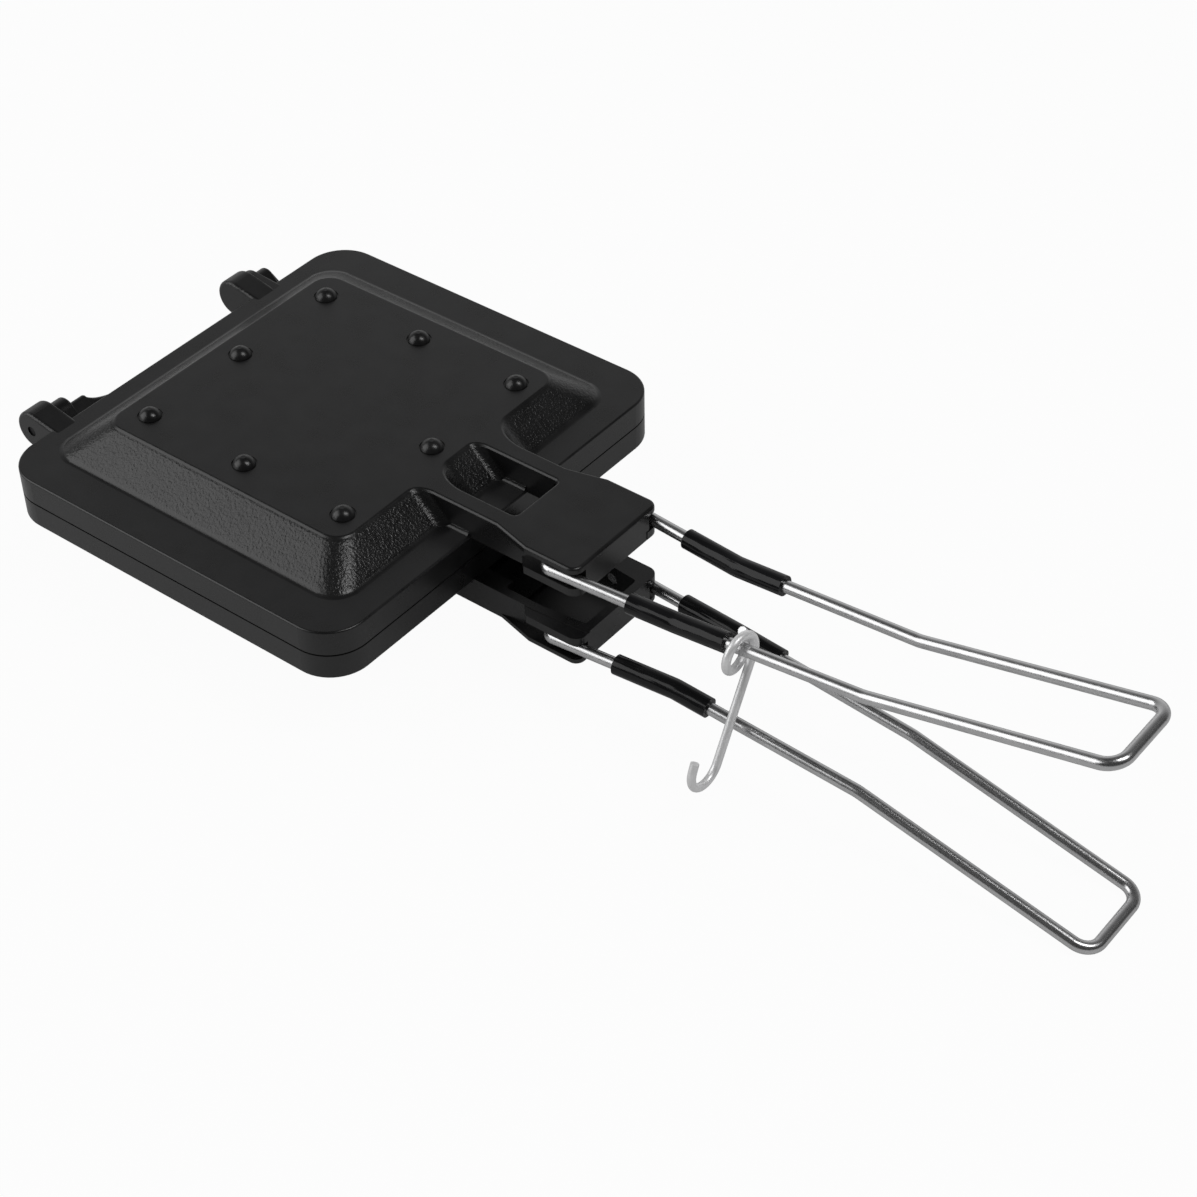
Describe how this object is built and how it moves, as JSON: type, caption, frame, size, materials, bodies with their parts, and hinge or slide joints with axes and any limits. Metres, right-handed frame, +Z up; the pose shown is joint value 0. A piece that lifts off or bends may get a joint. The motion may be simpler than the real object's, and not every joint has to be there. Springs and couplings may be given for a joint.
{
  "type": "pie iron",
  "caption": "Hinged cast sandwich iron: dished shells on a rear hinge, folding wire handles with heat sleeves and a wire hook that holds them shut.",
  "frame": {"origin": "middle of the plates, on the plane where the two shells meet, at the crossing of their centre lines", "axes": "+X out along the handles, away from the hinge; +Y to the left seen from the hinge side looking along +X; +Z up through the upper shell"},
  "size_m": [0.335, 0.1404, 0.0673],
  "materials": {
    "lower_casting": "matte black non-stick coat on cast aluminium",
    "upper_casting": "matte black non-stick coat on cast aluminium",
    "hinge_steel": "steel pin, blackened with the casting",
    "handle_wire": "bright drawn stainless wire",
    "sleeve_plastic": "glossy black heat sleeve",
    "latch_wire": "bright drawn stainless wire"
  },
  "bodies": {
    "lower_half": {"lower_shell": "lower_casting", "hinge_pin_near": "hinge_steel", "hinge_pin_far": "hinge_steel"},
    "upper_half": {"upper_shell": "upper_casting"},
    "upper_handle": {"upper_handle_wire": "handle_wire", "upper_sleeve_near": "sleeve_plastic", "upper_sleeve_far": "sleeve_plastic"},
    "lower_handle": {"lower_handle_wire": "handle_wire", "lower_sleeve_near": "sleeve_plastic", "lower_sleeve_far": "sleeve_plastic"},
    "latch": {"latch_hook": "latch_wire"}
  },
  "joints": [
    {"name": "clam_hinge", "type": "hinge", "parent": "lower_half", "child": "upper_half", "pos_m": [-0.0713, 0, 0.004], "axis": [0, -1, 0], "range_deg": [0, 120]},
    {"name": "upper_handle_fold", "type": "hinge", "parent": "upper_half", "child": "upper_handle", "pos_m": [0.0895, 0, 0.012], "axis": [0, -1, 0], "range_deg": [0, 158], "deforming": ["upper_handle_wire"]},
    {"name": "lower_handle_fold", "type": "hinge", "parent": "lower_half", "child": "lower_handle", "pos_m": [0.0895, 0, -0.012], "axis": [0, 1, 0], "range_deg": [0, 159], "deforming": ["lower_handle_wire"]},
    {"name": "latch_swing", "type": "hinge", "parent": "upper_handle", "child": "latch", "pos_m": [0.1516, -0.01332, 0.01395], "axis": [-0.9957, -0.0176, -0.0913], "range_deg": [-5, 60]}
  ]
}
